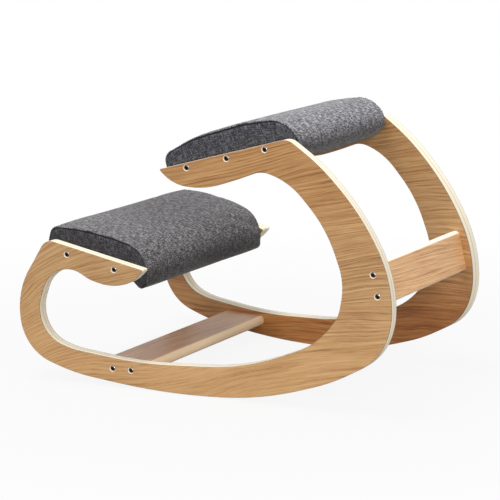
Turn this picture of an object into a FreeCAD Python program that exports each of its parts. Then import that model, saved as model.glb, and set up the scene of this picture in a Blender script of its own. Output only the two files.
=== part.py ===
# Rocking kneeling chair: two plywood side frames, two stretchers, a padded seat and a padded
# knee rest, held together by bolts through the frames.
# Millimetres. Knees point to -Y, the back of the seat to +Y, +Z is up, and the runners stand
# on z = 0 in the middle of the object's box.
import FreeCAD, Part
import Sketcher
import math
import os

doc = FreeCAD.newDocument("kneeling_chair")

# Driving dimensions
SIZES = [
    ("panel_thickness", 24.5),
    ("toe_in", 6.18),
    ("splay", 1.83),
    ("half_width", 263.8),
    ("edge_ease", 1.0),
    ("board_thickness", 15.0),
    ("dust_cover_thickness", 1.2),
    ("cover_thickness", 1.6),
    ("pad_side_gap", 0.8),
    ("head_diameter", 8.6),
    ("head_height", 3.4),
    ("head_dome", 1.5),
    ("recess_diameter", 9.0),
    ("recess_depth", 4.6),
    ("recess_rim", 1.7),
    ("shank_diameter", 5.0),
    ("shank_length", 39.0),
    ("clearance_hole", 5.6),
    ("socket_width", 4.0),
    ("socket_depth", 2.2),
    ("insert_diameter", 8.0),
    ("insert_length", 18.0),
    ("insert_bore", 5.2),
    ("insert_hole", 8.1),
    ("insert_hole_depth", 22.0),
]
sheet = doc.addObject("Spreadsheet::Sheet", "Dimensions")
SIZE = {}
for row, (alias, value) in enumerate(SIZES, start=1):
    sheet.set("A%d" % row, alias)
    sheet.set("B%d" % row, str(value))
    sheet.setAlias("B%d" % row, alias)
    SIZE[alias] = value
doc.recompute()


def bind(obj, prop, formula):
    """Drive a property from the sheet."""
    obj.setExpression(prop, "Dimensions." + formula)


# Where a side frame stands. (u, v) run along and up the frame's own face, u from its
# foremost point to the rear and v up from the floor; side is +1 on the sitter's left (+X)
# and -1 on the right; depth goes inwards from the outer face.
TOE = math.radians(SIZE["toe_in"])
SPLAY = math.radians(SIZE["splay"])
FRAME_Y = -349.2
FRAME_Z = SIZE["panel_thickness"] * math.sin(SPLAY) + 0.22
ALONG = FreeCAD.Vector(-math.sin(TOE), math.cos(TOE), 0)
OUTWARD = FreeCAD.Vector(math.cos(TOE) * math.cos(SPLAY), math.sin(TOE) * math.cos(SPLAY), math.sin(SPLAY))


def mirrored(vector, side):
    return FreeCAD.Vector(vector.x * side, vector.y, vector.z)


def frame_placement(side, depth=0.0):
    """Placement whose XY plane lies in a side frame, depth millimetres inside its outer face."""
    along = mirrored(ALONG, side)
    up = mirrored(OUTWARD.cross(ALONG), side)
    corner = FreeCAD.Vector(side * SIZE["half_width"], FRAME_Y, FRAME_Z)
    corner = corner - mirrored(OUTWARD, side) * depth
    rotation = FreeCAD.Rotation(along, up, along.cross(up), "ZXY")
    return FreeCAD.Placement(corner, rotation)


def to_chair(point):
    """(u, v) of the frames' inner faces as the chair's own (y, z)."""
    inner = frame_placement(1, SIZE["panel_thickness"])
    spot = inner.multVec(FreeCAD.Vector(point[0], point[1], 0))
    return spot.y, spot.z


def cross_placement(share, gap=0.0):
    """Plane across the chair at a share of the way from the middle (0) to an inner face (+-1)."""
    reach = SIZE["panel_thickness"] + gap
    normal = OUTWARD
    corner = FreeCAD.Vector(SIZE["half_width"], FRAME_Y, FRAME_Z) - normal * reach
    level = normal.dot(corner)
    slope_y = -share * normal.y / normal.x
    slope_z = -share * normal.z / normal.x
    start = FreeCAD.Vector(share * level / normal.x, 0, 0)
    along = FreeCAD.Vector(slope_y, 1, 0).normalize()
    across = FreeCAD.Vector(1, -slope_y, -slope_z).normalize()
    up = across.cross(along)
    return FreeCAD.Placement(start, FreeCAD.Rotation(along, up, across, "ZXY"))


def in_plane(placement, spot):
    """(y, z) of the chair as the plane's own two coordinates."""
    across = placement.Rotation.multVec(FreeCAD.Vector(0, 0, 1))
    base = placement.Base
    x = base.x - (across.y * (spot[0] - base.y) + across.z * (spot[1] - base.z)) / across.x
    local = placement.inverse().multVec(FreeCAD.Vector(x, spot[0], spot[1]))
    return local.x, local.y


# Sketching
def origin_plane(body, role):
    return [plane for plane in body.Origin.OriginFeatures if plane.Role == role][0]


def new_body(label):
    body = doc.addObject("PartDesign::Body", label)
    body.Label = label
    return body


def new_sketch(body, name, placement=None):
    """Sketch on the body's own YZ plane moved to a placement, or on its XY plane."""
    sketch = body.newObject("Sketcher::SketchObject", name)
    role = "XY_Plane" if placement is None else "YZ_Plane"
    plane = origin_plane(body, role)
    sketch.AttachmentSupport = [(plane, "")]
    sketch.MapMode = "FlatFace"
    if placement is not None:
        turn = FreeCAD.Rotation(FreeCAD.Vector(0, 1, 0), FreeCAD.Vector(0, 0, 1), FreeCAD.Vector(1, 0, 0), "ZXY")
        ground = FreeCAD.Placement(FreeCAD.Vector(0, 0, 0), turn)
        sketch.AttachmentOffset = ground.inverse().multiply(placement)
    return sketch


def rounded(sketch, corners):
    """Closed outline of straight lines through the corners (x, y, radius), each corner rounded."""
    count = len(corners)
    shapes = []
    ends = []
    for number in range(count):
        here = FreeCAD.Vector(corners[number][0], corners[number][1], 0)
        before = FreeCAD.Vector(corners[number - 1][0], corners[number - 1][1], 0)
        after = FreeCAD.Vector(corners[(number + 1) % count][0], corners[(number + 1) % count][1], 0)
        radius = corners[number][2]
        back = (before - here).normalize()
        ahead = (after - here).normalize()
        half = back.getAngle(ahead) / 2
        if radius == 0:
            ends.append((here, None, here))
            continue
        reach = radius / math.tan(half)
        middle = (back + ahead).normalize()
        centre = here + middle * (radius / math.sin(half))
        ends.append((here + back * reach, centre - middle * radius, here + ahead * reach))
    for number in range(count):
        start, through, stop = ends[number]
        gap = ends[(number + 1) % count][0] - stop
        span = corners[(number + 1) % count]
        way = FreeCAD.Vector(span[0] - corners[number][0], span[1] - corners[number][1], 0)
        if gap.dot(way) <= 0:
            raise ValueError("%s: the roundings at corner %d overlap" % (sketch.Name, number))
        if through is not None:
            shapes.append(Part.Arc(start, through, stop))
        shapes.append(Part.LineSegment(stop, ends[(number + 1) % count][0]))
    sketch.addGeometry(shapes, False)
    return sketch


def circles(sketch, spots, diameter):
    """A circle at each spot, all driven by one size of the sheet."""
    for x, y in spots:
        centre = FreeCAD.Vector(x, y, 0)
        ring = sketch.addGeometry(Part.Circle(centre, FreeCAD.Vector(0, 0, 1), SIZE[diameter] / 2), False)
        number = sketch.addConstraint(Sketcher.Constraint("Diameter", ring, SIZE[diameter]))
        sketch.addConstraint(Sketcher.Constraint("DistanceX", ring, 3, x))
        sketch.addConstraint(Sketcher.Constraint("DistanceY", ring, 3, y))
        sketch.setExpression("Constraints[%d]" % number, "Dimensions." + diameter)
    return sketch


def feature(body, kind, name, profile, **settings):
    item = body.newObject("PartDesign::" + kind, name)
    item.Profile = profile
    for key, value in settings.items():
        setattr(item, key, value)
    return item


def loft(body, name, sketches, ruled):
    item = body.newObject("PartDesign::AdditiveLoft", name)
    item.Profile = sketches[0]
    item.Sections = sketches[1:]
    item.Ruled = ruled
    return item


def drilled(body, name, sketch, length, expression, inward):
    """Pocket that must take material away; its direction is checked by volume."""
    doc.recompute()
    before = body.Shape.Volume
    pocket = feature(body, "Pocket", name, sketch, Length=length, Reversed=inward)
    pocket.setExpression("Length", "Dimensions." + expression)
    doc.recompute()
    if before - body.Shape.Volume < 1.0:
        pocket.Reversed = not inward
        doc.recompute()
    return pocket


def ring_edges(shape, diameter, level):
    """Names of a shape's circles of one diameter at one height."""
    names = []
    for number, edge in enumerate(shape.Edges, start=1):
        curve = edge.Curve
        if not isinstance(curve, Part.Circle):
            continue
        if abs(2 * curve.Radius - diameter) < 0.01 and abs(curve.Center.z - level) < 0.01:
            names.append("Edge%d" % number)
    return names


# The side frame: knee rail, front curve, runner, rear curve and seat rail in one ribbon.
# Corners are (u, v, radius of the rounding).
OUTER_SIDE = [
    (53, 253, 22), (26, 206, 108), (-3, 160, 138), (3, 97, 94), (23, 45, 89), (110, 16, 369),
    (296, -4, 1219), (473, 6, 573), (601, 48, 347), (688, 97, 100), (706, 159, 136),
    (703, 234, 230), (651, 334, 425), (574, 416, 393), (513, 458, 22),
]
SEAT_RAIL = [(275, 392, 2), (300, 368, 74), (360, 362, 154), (415, 381, 200), (466, 401, 48)]
INNER_SIDE = [
    (517, 386, 129), (585, 312, 236), (620, 221, 117), (610, 163, 53), (572, 111, 149),
    (439, 57, 421), (240, 45, 747), (106, 59, 171), (54, 76, 64), (38, 129, 69), (58, 192, 55),
    (106, 206, 48),
]
KNEE_RAIL = [(141, 187, 64), (183, 177, 95), (224, 188, 58), (246, 212, 3)]
FRAME_OUTLINE = OUTER_SIDE + SEAT_RAIL + INNER_SIDE + KNEE_RAIL


def along_line(start, end):
    """Unit vectors along and square to a line in the frame's face."""
    length = math.hypot(end[0] - start[0], end[1] - start[1])
    step = ((end[0] - start[0]) / length, (end[1] - start[1]) / length)
    return start, step, (-step[1], step[0])


# Rail tops: the pads are laid out along them, "run" backwards from a rail's start and
# "rise" square to it.
SEAT_LINE = along_line((275, 392), (513, 458))
KNEE_LINE = along_line((53, 253), (246, 212))


def on_rail(line, run, rise):
    start, step, square = line
    return start[0] + run * step[0] + rise * square[0], start[1] + run * step[1] + rise * square[1]


# Bolt places in a frame, as (u, v)
SEAT_BOLTS = [on_rail(SEAT_LINE, run, -8.0) for run in (52, 129, 202)]
KNEE_BOLTS = [on_rail(KNEE_LINE, run, -14.5) for run in (47, 142)]
FRONT_BOLTS = [(187, 32), (223, 32)]
REAR_LINE = along_line((666.4, 257), (683.2, 187))
REAR_BOLTS = [on_rail(REAR_LINE, run, 0) for run in (17.5, 54.5)]
BOLTS = {"seat": SEAT_BOLTS, "knee": KNEE_BOLTS, "front_stretcher": FRONT_BOLTS, "rear_stretcher": REAR_BOLTS}
ALL_BOLTS = SEAT_BOLTS + KNEE_BOLTS + FRONT_BOLTS + REAR_BOLTS
SIDES = (("left", 1), ("right", -1))
nodes = []

# Side frames: the left one grows inwards from its outer face along -Z of its placement,
# the right one along +Z.
for word, side in SIDES:
    body = new_body("side_frame_" + word)
    sketch = rounded(new_sketch(body, "frame_outline_" + word), FRAME_OUTLINE)
    pad = feature(body, "Pad", "frame_pad_" + word, sketch, Reversed=(side > 0))
    bind(pad, "Length", "panel_thickness")
    doc.recompute()
    face_edges = []
    for number, edge in enumerate(pad.Shape.Edges, start=1):
        low = edge.BoundBox.ZMin
        high = edge.BoundBox.ZMax
        if high - low < 0.01:
            face_edges.append("Edge%d" % number)
    ease = body.newObject("PartDesign::Fillet", "frame_edges_" + word)
    ease.Base = (pad, face_edges)
    bind(ease, "Radius", "edge_ease")
    doc.recompute()
    holes = circles(new_sketch(body, "frame_holes_" + word), ALL_BOLTS, "clearance_hole")
    through = feature(body, "Pocket", "frame_through_" + word, holes, Type="ThroughAll", Midplane=True)
    doc.recompute()
    recesses = circles(new_sketch(body, "frame_recesses_" + word), ALL_BOLTS, "recess_diameter")
    sinks = drilled(body, "frame_sinks_" + word, recesses, SIZE["recess_depth"], "recess_depth", side < 0)
    rim = body.newObject("PartDesign::Chamfer", "frame_rims_" + word)
    rim.Base = (sinks, ring_edges(sinks.Shape, SIZE["recess_diameter"], 0.0))
    bind(rim, "Size", "recess_rim")
    doc.recompute()
    body.Placement = frame_placement(side)
    nodes.append(body)

# Bolts: a domed cylinder head with a hexagon socket, sunk below the face, one group per
# joint and frame.
for joint, spots in BOLTS.items():
    for word, side in SIDES:
        body = new_body("%s_bolts_%s" % (joint, word))
        body.AllowCompound = True
        inward = -side
        top = SIZE["recess_depth"] - SIZE["head_height"]
        name = "%s_%s" % (joint, word)
        heads = circles(new_sketch(body, "heads_" + name), spots, "head_diameter")
        heads.AttachmentOffset = FreeCAD.Placement(FreeCAD.Vector(0, 0, inward * top), FreeCAD.Rotation())
        heads.setExpression("AttachmentOffset.Base.z", "%d mm * (Dimensions.recess_depth - Dimensions.head_height)" % inward)
        head_pad = feature(body, "Pad", "head_" + name, heads, Reversed=(inward < 0))
        bind(head_pad, "Length", "head_height")
        doc.recompute()
        dome = body.newObject("PartDesign::Fillet", "dome_" + name)
        dome.Base = (head_pad, ring_edges(head_pad.Shape, SIZE["head_diameter"], inward * top))
        bind(dome, "Radius", "head_dome")
        doc.recompute()
        shanks = circles(new_sketch(body, "shanks_" + name), spots, "shank_diameter")
        depth = SIZE["recess_depth"] - 0.2
        shanks.AttachmentOffset = FreeCAD.Placement(FreeCAD.Vector(0, 0, inward * depth), FreeCAD.Rotation())
        shank_pad = feature(body, "Pad", "shank_" + name, shanks, Reversed=(inward < 0))
        bind(shank_pad, "Length", "shank_length")
        doc.recompute()
        socket = new_sketch(body, "sockets_" + name)
        corner = SIZE["socket_width"] / math.sqrt(3)
        for x, y in spots:
            points = []
            for turn in range(6):
                angle = math.radians(60 * turn + 20)
                points.append((x + corner * math.cos(angle), y + corner * math.sin(angle), 0))
            rounded(socket, points)
        socket.AttachmentOffset = heads.AttachmentOffset
        drilled(body, "socket_" + name, socket, SIZE["socket_depth"], "socket_depth", inward > 0)
        body.Placement = frame_placement(side)
        nodes.append(body)

# Threaded inserts pressed into the ends of the boards that the bolts pull against the frames
for joint, spots in BOLTS.items():
    for word, side in SIDES:
        body = new_body("%s_inserts_%s" % (joint, word))
        body.AllowCompound = True
        name = "%s_%s" % (joint, word)
        rings = circles(new_sketch(body, "insert_rings_" + name), spots, "insert_diameter")
        circles(rings, spots, "insert_bore")
        pad = feature(body, "Pad", "insert_pad_" + name, rings, Reversed=(side > 0))
        bind(pad, "Length", "insert_length")
        body.Placement = frame_placement(side, SIZE["panel_thickness"] + 0.6)
        nodes.append(body)


def across_chair(label, corners, gap=0.0):
    """Board between the frames: one outline in (u, v), lofted from one inner face to the other."""
    body = new_body(label)
    sketches = []
    for tag, share in (("a", 1), ("b", -1)):
        plane = cross_placement(share, gap)
        flat = []
        for u, v, radius in corners:
            x, y = in_plane(plane, to_chair((u, v)))
            flat.append((x, y, radius))
        sketches.append(rounded(new_sketch(body, "%s_section_%s" % (label, tag), plane), flat))
    loft(body, label + "_loft", sketches, True)
    return body


def board_holes(body, spots):
    """Blind holes for the inserts in both ends of a board."""
    for word, side in SIDES:
        plane = frame_placement(side, SIZE["panel_thickness"])
        sketch = circles(new_sketch(body, "%s_holes_%s" % (body.Name, word), plane), spots, "insert_hole")
        drilled(body, "%s_drill_%s" % (body.Name, word), sketch, SIZE["insert_hole_depth"], "insert_hole_depth", side < 0)


def rail_box(line, run_from, run_to, low, high, radius):
    spots = [(run_from, low), (run_to, low), (run_to, high), (run_from, high)]
    return [on_rail(line, run, rise) + (radius,) for run, rise in spots]


# Front stretcher: a flat board near the floor with a rounded rear edge
front = across_chair("front_stretcher", [(157, 22, 3), (243, 22, 9), (243, 42, 9), (157, 42, 3)])
board_holes(front, FRONT_BOLTS)
nodes.append(front)

# Rear stretcher: an upright board with a rounded top edge
rear_corners = []
for run, rise, radius in ((0, -9.7, 8), (0, 9.7, 8), (72, 9.7, 3), (72, -9.7, 3)):
    rear_corners.append(on_rail(REAR_LINE, run, rise) + (radius,))
rear = across_chair("rear_stretcher", rear_corners)
board_holes(rear, REAR_BOLTS)
nodes.append(rear)

# Pad boards and the thin cloth under them
SEAT_TOP = -0.5
KNEE_TOP = -7.0
thick = SIZE["board_thickness"]
cloth = SIZE["dust_cover_thickness"]
seat_board = across_chair("seat_board", rail_box(SEAT_LINE, 12, 238, SEAT_TOP - thick, SEAT_TOP, 1.5))
board_holes(seat_board, SEAT_BOLTS)
nodes.append(seat_board)
knee_board = across_chair("knee_board", rail_box(KNEE_LINE, 6, 184, KNEE_TOP - thick, KNEE_TOP, 1.5))
board_holes(knee_board, KNEE_BOLTS)
nodes.append(knee_board)
seat_low = SEAT_TOP - thick - 0.1
nodes.append(across_chair("seat_dust_cover", rail_box(SEAT_LINE, 12, 205, seat_low - cloth, seat_low, 0.4), 3.0))
knee_low = KNEE_TOP - thick - 0.1
nodes.append(across_chair("knee_dust_cover", rail_box(KNEE_LINE, 6, 150, knee_low - cloth, knee_low, 0.4), 3.0))

# Pads. The skin is the photographed side view: rounded nose in front, full in the middle,
# rolled over the rear end of the board and under it. Each corner is (run, rise, radius,
# draw in at the side seam, crown in the middle).
SEAT_SKIN = [
    (1, -17, 3, (0, 0), 0), (2.5, 30, 22, (2, -4), 0), (62, 41, 420, (0, -3), 0.5), (168, 46, 230, (0, -3), 1),
    (224, 36.5, 66, (0, -2), 0.5), (255.5, 4, 38, (-1, 0), 0), (256, -23, 12, (-4, 2), 0),
    (238, -39.5, 8, (-3, 5), 0), (207, -32, 3, (0, 2), 0), (207, -16.5, 0, (0, 0), 0),
    (240, -16.5, 0, (0, 0), 0), (240, 0, 0, (0, 0), 0), (10, 0, 0, (0, 0), 0), (10, -17, 0, (0, 0), 0),
]
KNEE_SKIN = [
    (-9, -24, 3, (0, 0), 0), (-8, 20, 15, (2, -5), 0), (50, 31, 300, (0, -5), 0), (122, 34.5, 200, (0, -5), 1),
    (169, 26, 56, (0, -4), 0), (200, -4, 42, (-3, -1), 0), (202, -30, 11, (-4, 1), 0),
    (190, -42, 6, (-3, 4), 0), (158, -27, 2, (0, 1), 0), (158, -22.8, 0, (0, 0), 0),
    (186, -22.8, 0, (0, 0), 0), (186, -6.5, 0, (0, 0), 0), (2, -6.5, 0, (0, 0), 0), (2, -24, 0, (0, 0), 0),
]
# Sections across the pad, as shares of the half width. The draw-in grows towards the sides
# with the sixth power, and the crown falls off with the square.
SHARES = (1, 0.88, 0.6, 0, -0.6, -0.88, -1)
SECTIONS = [(share, share ** 6, 1 - share ** 2) for share in SHARES]


def skin_body(label, line, skin):
    body = new_body(label)
    sketches = []
    for number, (share, pinch, swell) in enumerate(SECTIONS):
        plane = cross_placement(share, SIZE["pad_side_gap"])
        flat = []
        for run, rise, radius, draw, crown in skin:
            spot = on_rail(line, run + draw[0] * pinch, rise + draw[1] * pinch + crown * swell)
            x, y = in_plane(plane, to_chair(spot))
            flat.append((x, y, radius))
        sketches.append(rounded(new_sketch(body, "%s_section_%d" % (label, number), plane), flat))
    loft(body, label + "_loft", sketches, False)
    return body


def foam_body(label, line, core):
    corners = [on_rail(line, run, rise) + (radius,) for run, rise, radius in core]
    return across_chair(label, corners, SIZE["pad_side_gap"] + SIZE["cover_thickness"] + 1.2)


SEAT_CORE = [
    (3.5, 2, 1), (6, 22, 16), (62, 33.5, 300), (168, 38, 200), (218, 28, 60), (245, 0, 33),
    (245, -16, 4), (241.5, -24, 1), (241.5, 2, 1),
]
KNEE_CORE = [
    (-5, -4, 1), (-3.5, 10, 12), (52, 20, 260), (122, 24, 180), (166, 18, 48), (193, -8, 33),
    (193, -25, 3), (187.5, -31, 1), (187.5, -4, 1),
]
for word, line, skin, core in (("seat", SEAT_LINE, SEAT_SKIN, SEAT_CORE), ("knee", KNEE_LINE, KNEE_SKIN, KNEE_CORE)):
    foam = foam_body(word + "_foam", line, core)
    envelope = skin_body(word + "_envelope", line, skin)
    cover = doc.addObject("Part::Cut", word + "_cover")
    cover.Base = envelope
    cover.Tool = foam
    cover.Label = word + "_cover"
    nodes.append(foam)
    nodes.append(cover)

doc.recompute()

# Check every object, then write one file per sub-part
for obj in doc.Objects:
    if "Invalid" in obj.State or "Error" in obj.State:
        raise RuntimeError("%s is not computed: %s" % (obj.Label, obj.State))
os.makedirs("parts", exist_ok=True)
total = FreeCAD.BoundBox()
for node in nodes:
    shape = node.Shape
    if shape.isNull() or not shape.isValid():
        raise RuntimeError(node.Label + " has no valid shape")
    shape.exportStep("parts/%s.step" % node.Label)
    total.add(shape.optimalBoundingBox())
    print(node.Label, "solids", len(shape.Solids), "volume", round(shape.Volume / 1000, 1), "cm3")
print("nodes", len(nodes), "box", [round(value, 1) for value in (total.XMin, total.XMax, total.YMin, total.YMax, total.ZMin, total.ZMax)])
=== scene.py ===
"""Looks of the rocking kneeling chair: oak-faced plywood frames, two woven pads, socket bolts.

Metres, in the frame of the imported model: knees point to -Y, the back of the seat to +Y.
"""
import math

import bmesh
import bpy
import numpy as np
from mathutils import Matrix, Vector


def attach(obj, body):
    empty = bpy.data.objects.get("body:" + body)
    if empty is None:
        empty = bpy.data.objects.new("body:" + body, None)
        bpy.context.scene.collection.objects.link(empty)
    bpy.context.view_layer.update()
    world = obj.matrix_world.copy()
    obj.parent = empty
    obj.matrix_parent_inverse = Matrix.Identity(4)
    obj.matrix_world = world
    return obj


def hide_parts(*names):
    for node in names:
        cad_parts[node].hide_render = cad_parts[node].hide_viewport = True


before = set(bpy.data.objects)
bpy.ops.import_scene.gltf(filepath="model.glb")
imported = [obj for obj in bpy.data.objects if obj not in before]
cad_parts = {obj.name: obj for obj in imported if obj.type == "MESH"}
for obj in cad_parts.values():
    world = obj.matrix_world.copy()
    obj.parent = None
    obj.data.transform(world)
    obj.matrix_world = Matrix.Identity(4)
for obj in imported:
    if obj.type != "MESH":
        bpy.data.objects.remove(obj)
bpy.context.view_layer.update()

# Lie of the side frames: u runs along a frame's outer face, v up it and depth into it.
TOE = math.radians(6.18)
SPLAY = math.radians(1.83)
PANEL = 0.0245
NORMAL = np.array([math.cos(TOE) * math.cos(SPLAY), math.sin(TOE) * math.cos(SPLAY), math.sin(SPLAY)])
ALONG = np.array([-math.sin(TOE), math.cos(TOE), 0.0])
UPWARD = np.cross(NORMAL, ALONG)
CORNER = np.array([0.2638, -0.3492, PANEL * math.sin(SPLAY) + 0.00022])


# Shader arithmetic
class Wire:
    """A socket of a finish that takes part in ordinary arithmetic."""

    def __init__(self, finish, socket):
        self.finish = finish
        self.socket = socket

    def maths(self, operation, *others):
        """One Math node with this wire first."""
        sockets = dict(enumerate((self,) + others))
        return self.finish.node("ShaderNodeMath", {"operation": operation}, sockets)

    def __add__(self, other):
        return self.maths("ADD", other)

    def __radd__(self, other):
        return self.maths("ADD", other)

    def __sub__(self, other):
        return self.maths("SUBTRACT", other)

    def __rsub__(self, other):
        return (self * -1.0) + other

    def __mul__(self, other):
        return self.maths("MULTIPLY", other)

    def __rmul__(self, other):
        return self.maths("MULTIPLY", other)

    def __truediv__(self, other):
        return self.maths("DIVIDE", other)

    def __pow__(self, other):
        return self.maths("POWER", other)

    def wave(self):
        """Sine of the value, as 0 to 1."""
        return self.maths("SINE") * 0.5 + 0.5

    def step(self, low, high):
        """0 below low, 1 above high, smooth between; turned round when low is above high."""
        settings = {"interpolation_type": "SMOOTHSTEP"}
        ends = {0: self, 1: min(low, high), 2: max(low, high), 3: 0.0, 4: 1.0}
        rise = self.finish.node("ShaderNodeMapRange", settings, ends)
        return rise if low < high else 1.0 - rise


class Finish:
    """A material and the nodes that make it."""

    def __init__(self, name):
        self.material = bpy.data.materials.new(name)
        self.material.use_nodes = True
        self.tree = self.material.node_tree
        self.tree.nodes.clear()
        self.spot = self.node("ShaderNodeTexCoord", output="Object")

    def node(self, kind, settings={}, sockets={}, output=0):
        """Adds one node: its settings first, then the values or wires of its sockets."""
        made = self.tree.nodes.new(kind)
        for key, value in settings.items():
            setattr(made, key, value)
        for key, value in sockets.items():
            if isinstance(value, Wire):
                self.tree.links.new(value.socket, made.inputs[key])
            else:
                made.inputs[key].default_value = value
        return Wire(self, made.outputs[output])

    def ramp(self, factor, stops):
        """Colour ramp through (place, colour) stops."""
        wire = self.node("ShaderNodeValToRGB", sockets={0: factor})
        band = wire.socket.node.color_ramp
        for number, (place, colour) in enumerate(stops):
            stop = band.elements[number] if number < 2 else band.elements.new(place)
            stop.position = place
            stop.color = (*colour, 1.0)
        return wire

    def mix(self, factor, first, second, kind="MIX"):
        """Colours blended by a factor."""
        ends = {0: factor, 6: first, 7: second}
        for key in (6, 7):
            if not isinstance(ends[key], Wire):
                ends[key] = (*ends[key], 1.0)
        settings = {"data_type": "RGBA", "blend_type": kind, "clamp_factor": True}
        return self.node("ShaderNodeMix", settings, ends, output=2)

    def dot(self, vector, constant):
        """Length of a vector along a fixed direction."""
        settings = {"operation": "DOT_PRODUCT"}
        return self.node("ShaderNodeVectorMath", settings, {0: vector, 1: tuple(constant)}, output=1)

    def vector(self, x, y, z):
        """Three values as one vector."""
        return self.node("ShaderNodeCombineXYZ", sockets={0: x, 1: y, 2: z})

    def noise(self, place, scale, detail=2.0, roughness=0.5):
        """Soft noise about 0.5 at a place."""
        sockets = {"Vector": place, "Scale": scale, "Detail": detail, "Roughness": roughness}
        return self.node("ShaderNodeTexNoise", sockets=sockets)

    def surface(self, colour, roughness, bump=None, depth=0.001, **constants):
        """Principled surface; bump is a height of 0 to 1 that stands for depth metres."""
        sockets = {"Base Color": colour, "Roughness": roughness}
        for key, value in constants.items():
            sockets[key.replace("_", " ")] = value
        if bump is not None:
            relief = {"Strength": 1.0, "Distance": depth, "Height": bump}
            sockets["Normal"] = self.node("ShaderNodeBump", sockets=relief)
        shader = self.node("ShaderNodeBsdfPrincipled", sockets=sockets)
        self.node_output(shader)
        return self.material

    def node_output(self, shader):
        """Ends the material with a shader."""
        end = self.tree.nodes.new("ShaderNodeOutputMaterial")
        self.tree.links.new(shader.socket, end.inputs[0])


# Bolts through each frame, (run, rise) in millimetres on its outer face
BOLTS = (
    (327.2, 398.2), (401.4, 418.8), (471.8, 438.3), (96, 229), (188.9, 209.3),
    (187, 32), (223, 32), (670.5, 240), (679.1, 204),
)

# Build-up of the plywood, in metres: veneer on each face of a frame and of a board. BLUR is
# half the width over which a frame's veneer gives way to ply; the layers lie between the faces
VENEER = 0.0007
BLUR = 0.00015
BOARD_VENEER = 0.0009
FRAME_LAYERS = 9.0
BOARD_LAYERS = 7.0
# Colours of the wood: ramps from late wood to early wood and from glue line to pale ply, the
# glue between a frame's two boards, and what a countersink cuts through
OAK = [
    (0.0, (0.250, 0.110, 0.040)),
    (0.30, (0.430, 0.220, 0.083)),
    (0.62, (0.580, 0.330, 0.140)),
    (1.0, (0.720, 0.455, 0.215)),
]
PALE_PLY = [(0.0, (0.56, 0.42, 0.25)), (0.5, (0.90, 0.79, 0.59)), (1.0, (0.96, 0.90, 0.75))]
GLUE_LINE = (0.62, 0.48, 0.30)
CUT_VENEER = (0.150, 0.075, 0.030)
CUT_PLY = (0.92, 0.82, 0.66)
BOLT_HOLE = (0.30, 0.20, 0.12)
RINGS_PER_METRE = 150.0
# In front of this run, in metres, the grain turns up
CURL_START = 0.15


def oak_grain(finish, along, up, slice_height, seed):
    """Slice through a log: rings are circles about a wandering pith, seen as long arches.

    along and up are wires in metres. Returns tone, 0 dark to 1 pale, and the pore mask.
    """
    wander = finish.noise(finish.vector(along * 1.9 + seed, up * 4.2, seed), 1.0, 2.0) - 0.5
    ripple = finish.noise(finish.vector(along * 9.0, up * 40.0 + seed, seed), 1.0, 3.0) - 0.5
    curl = (CURL_START - along).maths("MAXIMUM", 0.0)
    across = up + curl * curl * 2.4 + wander * 0.11 + ripple * 0.007
    ring = (across * across + slice_height * slice_height) ** 0.5
    breadth = finish.noise(finish.vector(ring * 42.0, along * 3.0, seed), 1.0, 2.0)
    year = (ring * RINGS_PER_METRE + breadth * 2.4).maths("FRACT")
    late = year.step(0.20, 0.90) * year.step(1.0, 0.93)
    strength = finish.noise(finish.vector(along * 4.0, ring * 60.0, seed + 4.0), 1.0, 1.0).step(0.36, 0.64)
    band = finish.noise(finish.vector(along * 4.0, across * 400.0, seed), 1.0, 3.0, 0.65)
    streak = finish.noise(finish.vector(along * 30.0, across * 900.0, seed), 1.0, 3.0, 0.6)
    dash = finish.noise(finish.vector(along * 18.0, across * 420.0, seed + 2.0), 1.0, 1.0, 0.5)
    patch = finish.noise(finish.vector(along * 7.0 + seed, up * 17.0, 0.0), 1.0, 2.0)
    pore = finish.noise(finish.vector(along * 70.0, up * 1500.0, seed), 1.0, 1.0, 0.5).step(0.60, 0.70)
    pores = pore * (0.30 + late * 0.70)
    tone = 0.69 - late * (0.09 + strength * 0.20) + (band - 0.5) * 1.55 + (streak - 0.5) * 0.95
    tone = tone + (dash - 0.5) * 0.70 + (patch - 0.5) * 0.50
    return tone - pores * 0.20, pores


def plies(finish, depth, thickness, layers, along, up):
    """Plywood edge: layers of alternate grain between glue lines, each layer its own tone."""
    layer = depth * (layers / thickness)
    inside = layer.maths("FRACT")
    number = layer.maths("FLOOR")
    odd = (number * 0.5).maths("FRACT").step(0.2, 0.3)
    glue = inside.step(0.10, 0.0) + inside.step(0.90, 1.0)
    fibre = finish.noise(finish.vector(along * 45.0, up * 45.0, number * 3.7), 1.0, 3.0, 0.6)
    end_grain = finish.noise(finish.vector(along * 900.0, up * 900.0, depth * 900.0), 1.0, 2.0)
    tone = 0.84 + (fibre - 0.5) * 0.45 - odd * 0.18 + odd * (end_grain - 0.5) * 0.5 - glue * 0.28
    return finish.ramp(tone, PALE_PLY), tone


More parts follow.
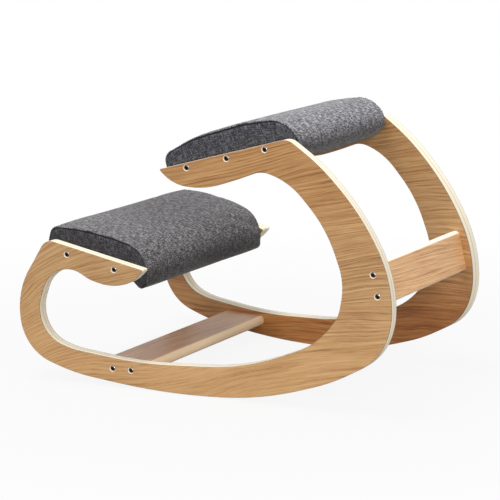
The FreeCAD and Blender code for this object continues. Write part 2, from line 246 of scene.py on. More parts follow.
def panel_finish(name, side, seed):
    """Frame panel: veneer on both faces, two glued boards of plies between them.

    Round each bolt the countersunk rim cuts through the veneer and shows the pale plies.
    """
    finish = Finish(name)
    turn = np.array([side, 1.0, 1.0])
    origin = CORNER * turn
    along = finish.dot(finish.spot, ALONG * turn) - float(origin @ (ALONG * turn))
    up = finish.dot(finish.spot, UPWARD * turn) - float(origin @ (UPWARD * turn))
    depth = float(origin @ (NORMAL * turn)) - finish.dot(finish.spot, NORMAL * turn)
    flat = finish.vector(along, up, 0.0)
    nearest = 1.0
    for u, v in BOLTS:
        ends = {0: flat, 1: (u / 1000, v / 1000, 0.0)}
        away = finish.node("ShaderNodeVectorMath", {"operation": "DISTANCE"}, ends, output=1)
        nearest = away.maths("MINIMUM", nearest)
    # Inside the countersink of a bolt, and on the inner half of the panel
    rim = nearest.step(0.0064, 0.0061)
    inner = depth.step(0.011, 0.013)
    leaning = up - along * (0.22 - inner * 0.17)
    drift = finish.noise(finish.vector(along * 2.2, inner * 3.0, seed), 1.0, 1.0)
    slice_height = 0.020 + inner * 0.028 + drift * 0.05
    centre = -0.05 + inner * 0.12
    tone, pores = oak_grain(finish, along + inner * 1.3, leaning - centre, slice_height, seed)
    runner = (1.0 - inner) * up.step(0.22, 0.03)
    veneer = finish.ramp(tone + runner * 0.17, OAK)
    pale, edge_tone = plies(finish, depth - VENEER, PANEL - 2 * VENEER, FRAME_LAYERS, along, up)
    near, far = VENEER - BLUR, VENEER + BLUR
    edge = depth.step(near, far) * depth.step(PANEL - near, PANEL - far)
    # Glue in the middle of the panel, and the dark line where each veneer ends
    joint = depth.step(0.0106, 0.0118) * depth.step(0.0139, 0.0127)
    pale = finish.mix(joint * 0.75, pale, GLUE_LINE)
    colour = finish.mix(edge, veneer, pale)
    rim_out = depth.step(0.00006, 0.00025) * depth.step(0.0017, 0.0012)
    rim_in = depth.step(PANEL - 0.00003, PANEL - 0.00015) * depth.step(PANEL - 0.0023, PANEL - 0.0017)
    colour = finish.mix((rim_out + rim_in) * 0.80, colour, CUT_VENEER)
    # Tints of the veneer: the runner's outside, the low inside in three stretches (partly painted shade),
    # and high up
    face = 1.0 - edge
    colour = finish.mix(face * runner, colour, (1.05, 1.00, 0.94), "MULTIPLY")
    # The low inside tint is partly a richer veneer tone and partly painted shade, low between the frames
    # where they shade each other.
    low = inner * up.step(0.26, 0.06)
    rich_tone_and_shade = finish.mix(along.step(0.42, 0.60), (1.25, 0.90, 0.60), (0.76, 0.52, 0.37))
    rich_tone_and_shade = finish.mix(along.step(0.14, 0.30), (0.92, 0.74, 0.56), rich_tone_and_shade)
    colour = finish.mix(low * face, colour, rich_tone_and_shade, "MULTIPLY")
    high = up.step(0.25, 0.38) * face * (1.0 - inner * 0.45)
    colour = finish.mix(high, colour, (0.91, 0.82, 0.71), "MULTIPLY")
    # Countersinks show ply, and the hole inside them is dark
    cut = rim * depth.step(0.0001, 0.0003) * depth.step(0.012, 0.010)
    colour = finish.mix(cut, colour, finish.mix(nearest.step(0.0050, 0.0046), CUT_PLY, BOLT_HOLE))
    rough = 0.40 + face * (pores * 0.22) + edge * 0.18 - (tone - 0.5) * 0.08
    height = face * (0.75 - pores * 0.6 + tone * 0.2) + edge * (0.5 + edge_tone * 0.3)
    return finish.surface(colour, rough, height, 0.00022, Coat_Weight=0.10, Coat_Roughness=0.28)


def board_finish(name, up_axis, low, high, tint, ply_tint, seed):
    """Board across the chair: grain runs along X, plies show on its long edges."""
    finish = Finish(name)
    along = finish.dot(finish.spot, (1.0, 0.0, 0.0))
    up_axis = np.array(up_axis) / np.linalg.norm(up_axis)
    thick_axis = np.cross((1.0, 0.0, 0.0), up_axis)
    across = finish.dot(finish.spot, up_axis)
    depth = finish.dot(finish.spot, thick_axis) - low
    thickness = high - low
    leaning = across * 1.2 + along * 0.08 + seed * 0.01
    tone, pores = oak_grain(finish, along * 0.8 + 0.6, leaning, 0.055 + along * 0.02, seed)
    veneer = finish.mix(1.0, finish.ramp(tone, OAK), tint, "MULTIPLY")
    pale, edge_tone = plies(finish, depth, thickness, BOARD_LAYERS, along * 0.25, across)
    near, far = BOARD_VENEER * 0.6, BOARD_VENEER
    edge = depth.step(near, far) * depth.step(thickness - near, thickness - far)
    colour = finish.mix(edge, veneer, finish.mix(1.0, pale, ply_tint, "MULTIPLY"))
    rough = 0.42 + pores * 0.2 + edge * 0.12
    height = 0.6 - pores * 0.5 + edge_tone * 0.2
    return finish.surface(colour, rough, height, 0.0002, Coat_Weight=0.08, Coat_Roughness=0.3)


def bolt_finish(name, side):
    """Bronzed bolt: a painted highlight on the upper rear of the dome, near black inside the socket."""
    finish = Finish(name)
    turn = np.array([side, 1.0, 1.0])
    origin = CORNER * turn
    depth = float(origin @ (NORMAL * turn)) - finish.dot(finish.spot, NORMAL * turn)
    sunk = depth.step(0.0021, 0.0027)
    scuff = finish.noise(finish.spot, 1900.0, 3.0)
    rubbed = scuff.step(0.45, 0.75)
    bronze = finish.mix(rubbed, (0.055, 0.030, 0.022), (0.16, 0.095, 0.070))
    # Painted highlight: the dome is painted bright where it faces out, up and to the rear, towards the side
    # lamp, standing in for that lamp's reflection.
    facing = finish.node("ShaderNodeNewGeometry", output="Normal")
    painted_highlight = finish.dot(facing, (0.80 * side, 0.44, 0.41)).step(0.85, 0.94)
    bronze = finish.mix(painted_highlight, bronze, (0.86, 0.76, 0.70))
    colour = finish.mix(sunk * 0.7, bronze, (0.020, 0.011, 0.008))
    return finish.surface(colour, 0.16 + scuff * 0.10, scuff, 0.00002, Metallic=1.0)


def insert_finish(name):
    """Zinc insert: fine turned rings across its length."""
    finish = Finish(name)
    rings = finish.dot(finish.spot, (7000.0, 0.0, 0.0)).wave()
    dull = finish.noise(finish.spot, 700.0, 3.0)
    colour = finish.mix(dull, (0.50, 0.48, 0.42), (0.72, 0.70, 0.64))
    return finish.surface(colour, 0.35 + dull * 0.2, rings, 0.0002, Metallic=1.0)


# Width of one thread of the pads' cloth, metres
WEAVE_PITCH = 0.0012


def cloth_finish(name, dark, light, warm, gusset_shade_share):
    """Heathered linen, plain weave, on the piece's own map in metres: warp along, weft across.

    Cells of the weave show the warp or the weft thread by turns, and each thread keeps its
    own tone for a stretch, which gives the short crossed strokes of the cloth. Painted light
    and shade: the cloth is lighter where it faces up and darker where it faces sideways or down,
    darker and flatter on the gussets, and nearly black in the seams.
    """
    finish = Finish(name)
    place = finish.node("ShaderNodeUVMap", {"uv_map": "weave"})
    warp = finish.node("ShaderNodeSeparateXYZ", sockets={0: place})
    weft = Wire(finish, warp.socket.node.outputs[1])
    sway = finish.noise(finish.vector(warp * 55.0, weft * 55.0, 0.0), 1.0, 2.0) - 0.5
    across = weft / WEAVE_PITCH + sway * 0.9
    along = warp / WEAVE_PITCH - sway * 0.9
    turn = ((across.maths("FLOOR") + along.maths("FLOOR")) * 0.5).maths("FRACT").step(0.2, 0.3)
    warp_thread = finish.noise(finish.vector(warp * 150.0, across.maths("FLOOR") * 3.71, 1.0), 1.0, 2.0, 0.7)
    weft_thread = finish.noise(finish.vector(along.maths("FLOOR") * 3.71, weft * 150.0, 5.0), 1.0, 2.0, 0.7)
    thread = turn * warp_thread + (1.0 - turn) * weft_thread
    drift = sway * 0.0016
    stroke_a = finish.noise(finish.vector(warp * 80.0, (weft + drift) * 540.0, 21.0), 1.0, 1.0, 0.6)
    stroke_b = finish.noise(finish.vector((warp + drift) * 540.0, weft * 80.0, 27.0), 1.0, 1.0, 0.6)
    strokes = (stroke_a, stroke_b)
    slub = sum(stroke.step(0.50, 0.66) - stroke.step(0.46, 0.34) * 0.7 for stroke in strokes)
    cloud = finish.noise(finish.vector(warp * 11.0, weft * 11.0, 9.0), 1.0, 3.0)
    # Each thread's crown makes its bump and also darkens it towards its edges, painted shade between the
    # threads.
    round_across = (across.maths("FRACT") * math.pi).maths("SINE")
    round_along = (along.maths("FRACT") * math.pi).maths("SINE")
    crown = turn * round_across + (1.0 - turn) * round_along
    tone = 0.30 + (thread - 0.5) * 1.5 + slub * 0.62 + (cloud - 0.5) * 0.30 + (crown - 0.64) * 0.14
    middle = tuple(0.66 * low + 0.34 * high for low, high in zip(dark, light))
    colour = finish.ramp(tone, [(0.0, dark), (0.5, middle), (1.0, light)])
    brown = finish.noise(finish.vector(warp * 30.0, weft * 30.0, 14.0), 1.0, 2.0).step(0.42, 0.66)
    colour = finish.mix(brown * 0.5, colour, warm, "MULTIPLY")
    # Painted light and shade: the cloth is painted lighter where it faces up, and darker and warmer where it
    # faces sideways or down.
    facing = finish.node("ShaderNodeNewGeometry", output="Normal")
    painted_top_light = finish.dot(facing, (0.0, 0.0, 1.0)).step(-0.45, 0.85)
    colour = finish.mix(1.0 - painted_top_light, colour, (0.27, 0.24, 0.232), "MULTIPLY")
    gusset = finish.node("ShaderNodeAttribute", {"attribute_name": "gusset"}, output="Fac")
    seam = finish.node("ShaderNodeAttribute", {"attribute_name": "seam"}, output="Fac")
    # Painted shade: the gussets, of the same cloth as the top, are painted darker, flatter and cooler.
    gusset_painted_shade = finish.mix(0.40, colour, tuple(0.42 * part for part in middle))
    gusset_shade_tint = (gusset_shade_share * 0.93, gusset_shade_share * 0.98, gusset_shade_share * 1.08)
    colour = finish.mix(gusset, colour, finish.mix(1.0, gusset_painted_shade, gusset_shade_tint, "MULTIPLY"))
    # Painted shade: the seams are painted nearly black, standing in for the shade in their grooves.
    colour = finish.mix(seam.step(0.35, 0.90) * 0.90, colour, (0.008, 0.008, 0.010))
    height = crown * 0.6 + thread * 0.4
    return finish.surface(
        colour, 0.86 + (thread - 0.5) * 0.1, height, 0.00030,
        Sheen_Weight=0.36, Sheen_Roughness=0.40, Sheen_Tint=(0.95, 0.97, 1.0, 1.0), Specular_IOR_Level=0.15
    )


def plain_cloth_finish(name, colour):
    """Thin non-woven backing with a pressed dot pattern."""
    finish = Finish(name)
    dots = finish.node("ShaderNodeTexVoronoi", {"feature": "F1"}, {"Vector": finish.spot, "Scale": 420.0})
    fluff = finish.noise(finish.spot, 900.0, 4.0, 0.7)
    tone = dots.step(0.1, 0.5) * 0.5 + fluff * 0.5
    shade = finish.ramp(tone, [(0.0, tuple(0.4 * part for part in colour)), (1.0, colour)])
    return finish.surface(shade, 0.92, tone, 0.0002)


def thread_finish(name, colour):
    """Twisted sewing thread: slanted strands along each stitch."""
    finish = Finish(name)
    twist = finish.dot(finish.spot, (5200.0, 5200.0, 5200.0)).wave()
    shade = finish.ramp(twist, [(0.0, tuple(0.45 * part for part in colour)), (1.0, colour)])
    return finish.surface(shade, 0.7, twist, 0.00008)


# Pads
def to_chair(spot):
    """(run, rise) points along a rail, already as (u, v) in metres, become the chair's (y, z)."""
    inner = CORNER - NORMAL * PANEL
    full = inner + spot[..., :1] * ALONG + spot[..., 1:] * UPWARD
    return full[..., 1], full[..., 2]


def rounded_path(corners, radii, steps=14):
    """Open path through corners, each inner corner swapped for the arc that touches both lines.

    corners is (sections, corners, 2); the arcs are worked out for all sections at once by
    turning the centre-to-start arm onto the centre-to-end arm in equal angles.
    """
    here = corners[:, 1:-1]
    back = corners[:, :-2] - here
    ahead = corners[:, 2:] - here
    back = back / np.linalg.norm(back, axis=-1, keepdims=True)
    ahead = ahead / np.linalg.norm(ahead, axis=-1, keepdims=True)
    half = 0.5 * np.arccos(np.clip((back * ahead).sum(-1, keepdims=True), -1, 1))
    size = np.asarray(radii)[None, :, None]
    middle = back + ahead
    middle = middle / np.linalg.norm(middle, axis=-1, keepdims=True)
    centre = here + middle * size / np.sin(half)
    first = here + back * size / np.tan(half) - centre
    last = here + ahead * size / np.tan(half) - centre
    sweep = (math.pi - 2 * half)[:, :, None]
    share = np.linspace(0, 1, steps)[None, None, :, None]
    arm = np.sin((1 - share) * sweep) * first[:, :, None] + np.sin(share * sweep) * last[:, :, None]
    arcs = (centre[:, :, None] + arm / np.sin(sweep)).reshape(len(corners), -1, 2)
    return np.concatenate([corners[:, :1], arcs, corners[:, -1:]], axis=1)


def along_path(path, places, guide):
    """Points of every section at the places, lengths measured along the guide section."""
    steps = np.linalg.norm(np.diff(path[guide], axis=0), axis=1)
    length = np.concatenate([[0], np.cumsum(steps)])
    index = np.interp(places, length, np.arange(len(length)))
    low = np.minimum(index.astype(int), path.shape[1] - 2)
    part = (index - low)[None, :, None]
    return path[:, low] * (1 - part) + path[:, low + 1] * part


def path_length(path):
    """Sum of the lengths of a path's straight steps."""
    return np.linalg.norm(np.diff(path, axis=0), axis=1).sum()


# Metres between a pad and a frame's inner face
SIDE_GAP = 0.0008
# Millimetres: the round into each side seam and the step of the grid along the skin
EDGE_RADIUS = 3.6
SKIN_STEP = 5.4
# Turns of the quarter round into a side seam, and even rows between the two rounds
SEAM_TURNS = (90, 80, 63, 42, 20)
MIDDLE_ROWS = 79
# Places of a gusset's rows from the skin (0) to the board (1)
GUSSET_ROWS = np.array([0, 0.045, 0.12, 0.24, 0.38, 0.53, 0.68, 0.84, 1.0])


class Pad:
    """Upholstered pad between the frames, as a hollow block with coordinates (a, q, row).

    a runs along the outer skin from the front lip, over the top and round the rear to its
    end under the board; q goes from the skin (0) to the board (1); row goes across the chair.
    """

    def __init__(self, rail, skin, notch, stations, full):
        start = np.array(rail[0])
        step = np.array(rail[1]) - start
        step = step / np.linalg.norm(step)
        square = np.array([-step[1], step[0]])
        # Rows: a quarter round into each side seam, even rows between
        turn = np.radians(SEAM_TURNS)
        round_gap = EDGE_RADIUS * (1 - np.sin(turn))
        round_drop = EDGE_RADIUS * (1 - np.cos(turn))
        side = np.ones(len(turn))
        self.gap = np.concatenate([round_gap, np.full(MIDDLE_ROWS, EDGE_RADIUS), round_gap[::-1]])
        self.drop = np.concatenate([round_drop, np.zeros(MIDDLE_ROWS), round_drop[::-1]])
        self.share = np.concatenate([-side, np.linspace(-1, 1, MIDDLE_ROWS), side])
        width = np.abs(self.share)[:, None]
        skin = np.array(skin, float)
        spots = skin[None, :, :2] + skin[None, :, 3:5] * width[..., None] ** 6
        spots[..., 1] += skin[None, :, 5] * (1 - width ** 2) + full * np.clip(skin[None, :, 1] / 20, 0, 1)
        outer = rounded_path(spots, skin[1:-1, 2])
        inner = np.array(notch, float)
        inner = rounded_path(inner[None, :, :2], inner[1:-1, 2])
        guide = len(self.share) // 2
        total = path_length(outer[guide])
        self.places = np.linspace(0, total, int(total / SKIN_STEP) + 1)
        skin_marks = np.array([row[0] for row in stations]) * total
        inner_marks = np.array([row[1] for row in stations]) * path_length(inner[0])
        outer = along_path(outer, self.places, guide)
        inner = along_path(inner, np.interp(self.places, skin_marks, inner_marks), 0)
        inner = np.broadcast_to(inner, outer.shape)
        # The quarter round drops the skin towards the board, less where the pad is thin
        way = inner - outer
        room = np.linalg.norm(way, axis=-1, keepdims=True)
        drop = self.drop[:, None, None] * np.minimum(1.0, 0.42 * room / EDGE_RADIUS)
        outer = outer + way / room * drop
        self.outer = (start + outer[..., :1] * step + outer[..., 1:] * square) / 1000.0
        self.inner = (start + inner[..., :1] * step + inner[..., 1:] * square) / 1000.0
        self.rise = outer[..., 1]

    def place(self, flat, rows):
        """Points in the rail's plane stand in the chair, each row at its share of the inside width."""
        y, z = to_chair(flat)
        corner = CORNER - NORMAL * (PANEL + SIDE_GAP)
        half = (NORMAL @ corner - NORMAL[1] * y - NORMAL[2] * z) / NORMAL[0]
        sign = np.sign(self.share[rows])[:, None]
        gap = self.gap[rows][:, None] / 1000.0
        edge = np.abs(self.share[rows])[:, None] >= 1
        x = np.where(edge, sign * (half - gap), self.share[rows][:, None] * (half - gap))
        return np.stack([x, y, z], axis=-1)


def grid_faces(count_a, count_b):
    """Quads of a grid of count_a by count_b points, as rows of four indices."""
    index = np.arange(count_a * count_b).reshape(count_a, count_b)
    corners = (index[:-1, :-1], index[1:, :-1], index[1:, 1:], index[:-1, 1:])
    return np.stack([corner.ravel() for corner in corners], axis=1)


def pad_patches(pad):
    """The six sides of the block, each a grid of points, its two map coordinates and its kind."""
    rows = np.arange(len(pad.share))
    skin = pad.place(pad.outer, rows)
    board = pad.place(pad.inner, rows)
    length = np.broadcast_to(pad.places[None, :] / 1000.0, skin.shape[:2])
    patches = [(skin, length, skin[..., 0], "skin"), (board, length, board[..., 0] + 0.9, "board")]
    share = GUSSET_ROWS[:, None, None]
    for row in (0, len(rows) - 1):
        flat = pad.outer[row][None] * (1 - share) + pad.inner[row][None] * share
        side = pad.place(flat, np.full(len(GUSSET_ROWS), row))
        depth = np.linalg.norm(flat - pad.outer[row][None], axis=-1)
        patches.append((side, np.broadcast_to(length[:1], depth.shape), depth + 0.4, "gusset"))
    share = GUSSET_ROWS[None, :, None]
    for end in (0, -1):
        flat = pad.outer[:, end][:, None] * (1 - share) + pad.inner[:, end][:, None] * share
        lip = pad.place(flat, rows)
        reach = np.broadcast_to(0.02 * GUSSET_ROWS[None, :], lip.shape[:2])
        patches.append((lip, reach, lip[..., 0], "lip"))
    return patches


def turn_out(mesh):
    """Faces of a closed mesh all turned outwards, shaded smooth."""
    shell = bmesh.new()
    shell.from_mesh(mesh)
    bmesh.ops.recalc_face_normals(shell, faces=shell.faces)
    shell.to_mesh(mesh)
    shell.free()
    mesh.shade_smooth()


def mark(mesh, name, domain, values):
    """Numbers kept on a mesh's points or faces under a name."""
    mesh.attributes.new(name, "FLOAT", domain).data.foreach_set("value", values)


def pad_mesh(name, pad):
    """Closed mesh of the six grids: equal points merged, faces turned outwards."""
    patches = pad_patches(pad)
    points = np.concatenate([patch[0].reshape(-1, 3) for patch in patches])
    _, first, merged = np.unique(np.round(points, 6), axis=0, return_index=True, return_inverse=True)
    merged = merged.ravel()
    faces = []
    start = 0
    for grid, _, _, _ in patches:
        faces.append(grid_faces(*grid.shape[:2]) + start)
        start += grid.shape[0] * grid.shape[1]
    map_u = np.concatenate([patch[1].ravel() for patch in patches])
    map_v = np.concatenate([patch[2].ravel() for patch in patches])
    corners = np.concatenate(faces)
    mesh = bpy.data.meshes.new(name)
    mesh.from_pydata(points[first], [], merged[corners].tolist())
    chart = mesh.uv_layers.new(name="weave")
    chart.data.foreach_set("uv", np.stack([map_u[corners], map_v[corners]], axis=-1).ravel())
    marks = [np.full(len(grid), float(patch[3] == "gusset")) for grid, patch in zip(faces, patches)]
    mark(mesh, "gusset", "FACE", np.concatenate(marks))
    # Where each point may swell, and how near it is to a seam
    free = np.zeros(len(first))
    seam = np.zeros(len(first))
    skin_row = np.zeros(len(first))
    skin_place = np.zeros(len(first))
    start = 0
    for grid, _, _, kind in patches:
        index = merged[start:start + grid.shape[0] * grid.shape[1]].reshape(grid.shape[:2])
        if kind == "skin":
            free[index[2:-2, 2:-2]] = 1.0
            seam[index[:2]] = 1.0
            seam[index[-2:]] = 1.0
            skin_row[index] = np.arange(grid.shape[0])[:, None] + 1.0
            skin_place[index] = pad.places[None, :]
        if kind == "gusset":
            high = np.clip((pad.rise[0][None, :] - 3.0) / 8.0, 0, 1)
            free[index[2:-2, 2:-2]] = (high * np.ones((grid.shape[0], 1)))[2:-2, 2:-2] * 0.5
            seam[index[1]] = 1.0
        start += grid.shape[0] * grid.shape[1]
    mark(mesh, "seam", "POINT", seam)
    mark(mesh, "skin_row", "POINT", skin_row)
    mark(mesh, "skin_place", "POINT", skin_place)
    turn_out(mesh)
    return mesh, free, seam


def read(mesh, what="co"):
    """Places ("co") or normals ("normal") of a mesh's points, one row each."""
    flat = np.zeros(len(mesh.vertices) * 3)
    mesh.vertices.foreach_get(what, flat)
    return flat.reshape(-1, 3)


# How the pads are filled, and how deep the seams are drawn in
FILL_FRAMES = 20
FILL_PRESSURE = 4.0
SEAM_DEPTH = 0.0011


def inflate(piece, free, most):
    """Cloth under pressure, held where free is 0; no point moves farther than most.

    Returns the longest move before and after that limit, in metres.
    """
    rest = read(piece.data)
    held = piece.vertex_groups.new(name="held")
    held.add([int(number) for number in np.flatnonzero(free < 0.01)], 1.0, "REPLACE")
    cloth = piece.modifiers.new("fill", "CLOTH")
    settings = cloth.settings
    settings.quality = 6
    settings.mass = 0.2
    settings.tension_stiffness = 12
    settings.compression_stiffness = 12
    settings.shear_stiffness = 4
    settings.bending_stiffness = 0.6
    settings.vertex_group_mass = "held"
    settings.use_pressure = True
    settings.uniform_pressure_force = FILL_PRESSURE
    settings.effector_weights.gravity = 0
    cloth.collision_settings.use_collision = False
    cloth.point_cache.frame_start = 1
    cloth.point_cache.frame_end = FILL_FRAMES
    scene = bpy.context.scene
    for number in range(1, FILL_FRAMES + 1):
        scene.frame_set(number)
    filled = piece.evaluated_get(bpy.context.evaluated_depsgraph_get())
    moved = read(filled.data)
    piece.modifiers.remove(cloth)
    scene.frame_set(1)
    shift = moved - rest
    size = np.linalg.norm(shift, axis=1, keepdims=True)
    limit = np.maximum(most * free[:, None], 1e-9)
    shift = shift * np.tanh(size / limit) * limit / np.maximum(size, 1e-9)
    piece.data.vertices.foreach_set("co", (rest + shift).ravel())
    piece.data.update()
    return float(size.max()), float(np.linalg.norm(shift, axis=1).max())


def new_piece(name, mesh, material):
    """Object of a mesh, with its material, at the origin."""
    piece = bpy.data.objects.new(name, mesh)
    bpy.context.scene.collection.objects.link(piece)
    mesh.materials.append(material)
    return piece


# Metres: from one stitch to the next, a stitch's length and its radius
STITCH_PITCH = 0.0046
STITCH_LENGTH = 0.0034
STITCH_RADIUS = 0.00050
# The stitched row of the skin, counted from a side seam
STITCH_ROW = 3


def stitches(name, line, outward, material):
    """Row of stitches on a line: each is a six-sided rod, its radius an ellipse along its length."""
    steps = np.linalg.norm(np.diff(line, axis=0), axis=1)
    far = np.concatenate([[0], np.cumsum(steps)])
    count = int(far[-1] / STITCH_PITCH)
    starts = (np.arange(count) + 0.5) * far[-1] / count

    def at(places, values):
        """Values of the line at places along it."""
        return np.stack([np.interp(places, far, values[:, axis]) for axis in range(3)], axis=-1)

    part = np.linspace(-1, 1, 5)
    places = starts[:, None] + part[None, :] * STITCH_LENGTH / 2
    spine = at(places.ravel(), line).reshape(count, 5, 3)
    normal = at(starts, outward)
    normal = normal / np.linalg.norm(normal, axis=-1, keepdims=True)
    way = spine[:, -1] - spine[:, 0]
    way = way / np.linalg.norm(way, axis=-1, keepdims=True)
    side = np.cross(way, normal)
    angle = np.arange(6) * math.pi / 3
    girth = STITCH_RADIUS * np.sqrt(np.clip(1.04 - part ** 2, 0, 1))
    ring = np.cos(angle)[:, None] * side[:, None] + np.sin(angle)[:, None] * normal[:, None]
    points = spine[:, :, None] + ring[:, None] * girth[None, :, None, None]
    points = points + normal[:, None, None] * STITCH_RADIUS * 0.35
    points = points.reshape(count, 30, 3)
    base = np.arange(4)[:, None] * 6 + np.arange(6)[None, :]
    after = np.arange(4)[:, None] * 6 + (np.arange(6)[None, :] + 1) % 6
    quads = np.stack([base, after, after + 6, base + 6], axis=-1).reshape(-1, 4)
    quads = (quads[None] + np.arange(count)[:, None, None] * 30).reshape(-1, 4).tolist()
    ends = np.arange(count)[:, None] * 30 + np.arange(6)[None, ::-1]
    far_ends = np.arange(count)[:, None] * 30 + 24 + np.arange(6)[None, :]
    mesh = bpy.data.meshes.new(name)
    mesh.from_pydata(points.reshape(-1, 3), [], quads + ends.tolist() + far_ends.tolist())
    turn_out(mesh)
    piece = new_piece(name, mesh, material)
    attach(piece, "root")


# Top edges of the two rails, (run, rise) in millimetres on the frame's face
SEAT_RAIL = ((275, 392), (513, 458))
KNEE_RAIL = ((53, 253), (246, 212))
# Outer skins: (run, rise, radius, draw run, draw rise, crown), millimetres along a rail
SEAT_SKIN = [
    (6, -17, 0, 0, 0, 0), (1, -17, 3, 0, 0, 0), (1.5, 25.5, 21, 0, 0, 0), (62, 41.7, 200, 0, 0, 0),
    (158, 46.4, 230, 0, 0, 0), (229, 38.5, 55, 0, 2, 0.5), (257, 4, 37, 0, 0, 0), (256.5, -23, 12, -3, 2, 0),
    (238, -39.5, 8, -3, 5, 0), (207, -32, 3, 0, 2, 0), (207, -26, 0, 0, 0, 0),
]
# Sides towards the board: (run, rise, radius). Stations pair a share of the skin's length with
# the share of the notch's length that lies across from it
SEAT_NOTCH = [(10, -17, 0), (10, 0, 1.5), (240, 0, 1.5), (240, -16.5, 1.5), (207, -16.5, 0)]
SEAT_STATIONS = [(0, 0), (0.11, 0.058), (0.67, 0.80), (0.86, 0.888), (1, 1)]
KNEE_SKIN = [
    (-3.5, -24, 0, 0, 0, 0), (-9, -24, 3, 0, 0, 0), (-8, 20, 15, 1, -3, 0), (50, 31, 300, 0, -3, 0),
    (122, 34.5, 200, 0, -3, 1), (171, 27, 53, 0, -2, 0), (200, -4, 42, -3, -1, 0), (203, -33, 10, -3, 0, 0),
    (191, -46, 9, -2, 0, 0), (158, -27, 2, 0, 1, 0), (158, -25.2, 0, 0, 0, 0),
]
KNEE_NOTCH = [(2, -24, 0), (2, -6.5, 1.5), (186, -6.5, 1.5), (186, -22.8, 1.5), (158, -22.8, 0)]
KNEE_STATIONS = [(0, 0), (0.12, 0.071), (0.62, 0.82), (0.86, 0.886), (1, 1)]

seat_cloth = cloth_finish(
    "seat_linen", dark=(0.022, 0.022, 0.026), light=(0.460, 0.454, 0.486),
    warm=(1.0, 0.95, 0.92), gusset_shade_share=0.92
)
# The knee pad's cloth is the seat's cloth painted darker: painted shade on a pad that faces back and up,
# away from the light.
knee_shaded_cloth = cloth_finish(
    "knee_linen", dark=(0.016, 0.015, 0.017), light=(0.300, 0.286, 0.298),
    warm=(1.0, 0.94, 0.91), gusset_shade_share=1.0
)
thread = thread_finish("sewing_thread", (0.130, 0.130, 0.140))


def make_pad(word, rail, skin, notch, stations, material, full, shrink, most, wrinkle):
    """Skin drawn in by shrink, filled by cloth pressure, then seamed, creased and stitched.

    full raises the top, in millimetres; shrink and most, in metres, go with the filling.
    """
    pad = Pad(rail, skin, notch, stations, full)
    mesh, free, seam = pad_mesh(word + "_pad", pad)
    piece = new_piece(word + "_pad", mesh, material)
    points = read(mesh)
    normals = read(mesh, "normal")
    mesh.vertices.foreach_set("co", (points - normals * (shrink * free)[:, None]).ravel())
    mesh.update()
    print(word, "pad swells (free, kept):", inflate(piece, free, most))
    points = read(mesh)
    normals = read(mesh, "normal")
    points = points + normals * wrinkle(points, free)[:, None]
    points = points - normals * (SEAM_DEPTH * seam)[:, None]
    mesh.vertices.foreach_set("co", points.ravel())
    mesh.update()
    smooth = piece.modifiers.new("smooth", "SUBSURF")
    smooth.levels = 1
    smooth.render_levels = 1
    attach(piece, "root")
    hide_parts(word + "_cover", word + "_foam")
    for side, row in (("right", STITCH_ROW), ("left", len(pad.share) - 1 - STITCH_ROW)):
        sew(word, side, mesh, row)


def sew(word, side, mesh, row):
    """Stitches along one row of the filled skin, found by the row and place kept on its points."""
    rows = np.zeros(len(mesh.vertices))
    mesh.attributes["skin_row"].data.foreach_get("value", rows)
    places = np.zeros(len(mesh.vertices))
    mesh.attributes["skin_place"].data.foreach_get("value", places)
    # Rows are kept counted from 1, so that 0 means off the skin
    mine = np.flatnonzero(rows == row + 1)
    mine = mine[np.argsort(places[mine])]
    line = read(mesh)[mine]
    outward = read(mesh, "normal")[mine]
    stitches("%s_stitches_%s" % (word, side), line, outward, thread)


def seat_wrinkle(points, free):
    """Gentle hollows: two slow waves across the seat, under half a millimetre."""
    wave = np.sin(points[:, 0] * 31 + 1.3) * np.sin(points[:, 1] * 43 + 0.4)
    return 0.00035 * wave * free


def knee_wrinkle(points, free):
    """Three shallow creases across the knee pad, each a narrow bell about a wandering line."""
    lines = ((-0.262, 0.10, 0.0), (-0.232, -0.06, 1.7), (-0.196, 0.05, 3.1))
    total = np.zeros(len(points))
    for level, tilt, phase in lines:
        off = points[:, 1] - (level + tilt * points[:, 0] + 0.006 * np.sin(points[:, 0] * 24 + phase))
        fade = np.clip(0.5 + 0.5 * np.cos(points[:, 0] * 16 + phase), 0, 1)
        total -= 0.0009 * fade * np.exp(-(off / 0.0048) ** 2)
    return total * free


make_pad(
    "seat", SEAT_RAIL, SEAT_SKIN, SEAT_NOTCH, SEAT_STATIONS, seat_cloth,
    full=-1.0, shrink=0.0010, most=0.0015, wrinkle=seat_wrinkle
)
make_pad(
    "knee", KNEE_RAIL, KNEE_SKIN, KNEE_NOTCH, KNEE_STATIONS, knee_shaded_cloth,
    full=4.4, shrink=0.0020, most=0.0036, wrinkle=knee_wrinkle
)


# Finishes of the carried-over parts
def dress(node, material):
    """Gives a carried-over node its material."""
    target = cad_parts[node]
    target.data.materials.clear()
    target.data.materials.append(material)


def direction(start, end):
    """Direction from start to end of a line on the frame's face, as the chair's (0, y, z)."""
    y, z = to_chair(np.array([start, end], float) / 1000.0)
    step = np.array([0.0, y[1] - y[0], z[1] - z[0]])
    return step / np.linalg.norm(step)


def spread(node, axis):
    """Lowest and highest reach of a node along a direction."""
    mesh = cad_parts[node].data
    reach = read(mesh) @ np.asarray(axis)
    return float(reach.min()), float(reach.max())


zinc = insert_finish("insert_zinc")
for word, side, seed in (("left", 1.0, 3.1), ("right", -1.0, 11.7)):
    dress("side_frame_" + word, panel_finish("oak_panel_" + word, side, seed))
    bronze = bolt_finish("bolt_bronze_" + word, side)
    for joint in ("seat", "knee", "front_stretcher", "rear_stretcher"):
        dress("%s_bolts_%s" % (joint, word), bronze)
        dress("%s_inserts_%s" % (joint, word), zinc)

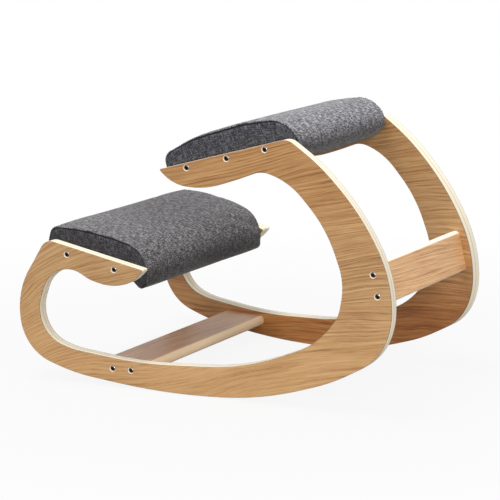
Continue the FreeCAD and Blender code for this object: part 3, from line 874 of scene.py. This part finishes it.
# Board, its line on the frame's face in millimetres, tint of its veneer and of its plies, seed
BOARDS = (
    ("front_stretcher", (157, 22), (243, 22), (1.12, 1.06, 1.34), (1.04, 0.87, 0.72), 2.3),
    # The rear stretcher's tints are partly a paler veneer and partly painted light, for its rear-facing face
    # lit by the side lamp.
    ("rear_stretcher", (666.4, 257), (683.2, 187), (1.32, 1.30, 1.42), (1.0, 1.06, 1.15), 5.9),
    ("seat_board", (275, 392), (513, 458), (1.0, 1.0, 1.0), (1.0, 1.0, 1.0), 8.2),
    ("knee_board", (53, 253), (246, 212), (1.0, 1.0, 1.0), (1.0, 1.0, 1.0), 9.6),
)
for node, start, end, tint, ply_tint, seed in BOARDS:
    step = direction(start, end)
    thick = np.cross((1.0, 0.0, 0.0), step)
    low, high = spread(node, thick)
    dress(node, board_finish("oak_" + node, step, low, high, tint, ply_tint, seed))
backing = plain_cloth_finish("dust_cloth_black", (0.030, 0.030, 0.032))
for node in ("seat_dust_cover", "knee_dust_cover"):
    dress(node, backing)


# Stage: pale floor, soft lamps, white surround
def stage_finish():
    """Pale floor that turns white away from the chair where the camera looks at it."""
    finish = Finish("studio_floor")
    plain = finish.node("ShaderNodeBsdfDiffuse", sockets={0: (0.45, 0.45, 0.45, 1.0)})
    white = finish.node("ShaderNodeEmission", sockets={0: (1.0, 1.0, 1.0, 1.0), 1: 1.0})
    seen = finish.node("ShaderNodeLightPath", output="Is Camera Ray")
    far = finish.node("ShaderNodeVectorMath", {"operation": "LENGTH"}, {0: finish.spot}, output=1)
    share = seen * (0.90 + far.step(0.35, 1.5) * 0.10)
    shader = finish.node("ShaderNodeMixShader", sockets={0: share, 1: plain, 2: white})
    finish.node_output(shader)
    return finish.material


floor_mesh = bpy.data.meshes.new("studio_floor")
reach = 30.0
floor_corners = [(-reach, -reach, 0), (reach, -reach, 0), (reach, reach, 0), (-reach, reach, 0)]
floor_mesh.from_pydata(floor_corners, [], [(0, 1, 2, 3)])
floor = bpy.data.objects.new("studio_floor", floor_mesh)
bpy.context.scene.collection.objects.link(floor)
floor_mesh.materials.append(stage_finish())

# The world is white for the camera and in reflections, and dimmer as a light
world = bpy.data.worlds.new("studio")
bpy.context.scene.world = world
world.use_nodes = True
tree = world.node_tree
tree.nodes.clear()
path = tree.nodes.new("ShaderNodeLightPath")
seen = tree.nodes.new("ShaderNodeMath")
seen.operation = "MAXIMUM"
seen.use_clamp = True
tree.links.new(path.outputs["Is Camera Ray"], seen.inputs[0])
tree.links.new(path.outputs["Is Glossy Ray"], seen.inputs[1])
level = tree.nodes.new("ShaderNodeMapRange")
tree.links.new(seen.outputs[0], level.inputs[0])
level.inputs[3].default_value = 0.46
level.inputs[4].default_value = 1.0
sky = tree.nodes.new("ShaderNodeBackground")
sky.inputs[0].default_value = (1.0, 1.0, 1.0, 1.0)
tree.links.new(level.outputs[0], sky.inputs[1])
end = tree.nodes.new("ShaderNodeOutputWorld")
tree.links.new(sky.outputs[0], end.inputs[0])


def lamp(name, spot, aim, size, power):
    """Square lamp of a size in metres at a spot, turned to an aim."""
    light = bpy.data.lights.new(name, "AREA")
    light.shape = "SQUARE"
    light.size = size
    light.energy = power
    holder = bpy.data.objects.new(name, light)
    bpy.context.scene.collection.objects.link(holder)
    holder.location = spot
    holder.rotation_euler = (Vector(aim) - Vector(spot)).to_track_quat("-Z", "Y").to_euler()


lamp("top_lamp", (0.3, -0.6, 3.0), (0, 0, 0.3), 1.6, 74)
lamp("side_lamp", (2.35, 2.85, 1.95), (0, 0, 0.25), 1.6, 66)

# Camera at the photograph's viewing angle
view = Vector((-0.8544336821, -0.4803050527, -0.1981164789))
upright = Vector((-0.172700580, -0.097080631, 0.980178484))
aside = Vector((-0.490017951, 0.871712342, 0.0))
lens = bpy.data.cameras.new("camera")
lens.sensor_width = 36.0
lens.lens = 155.82
camera = bpy.data.objects.new("camera", lens)
bpy.context.scene.collection.objects.link(camera)
turn = Matrix((aside, upright, -view)).transposed().to_4x4()
camera.matrix_world = Matrix.Translation(Vector((3.35213, 1.8629, 0.9948))) @ turn
bpy.context.scene.camera = camera
bpy.context.scene.view_settings.view_transform = "Standard"
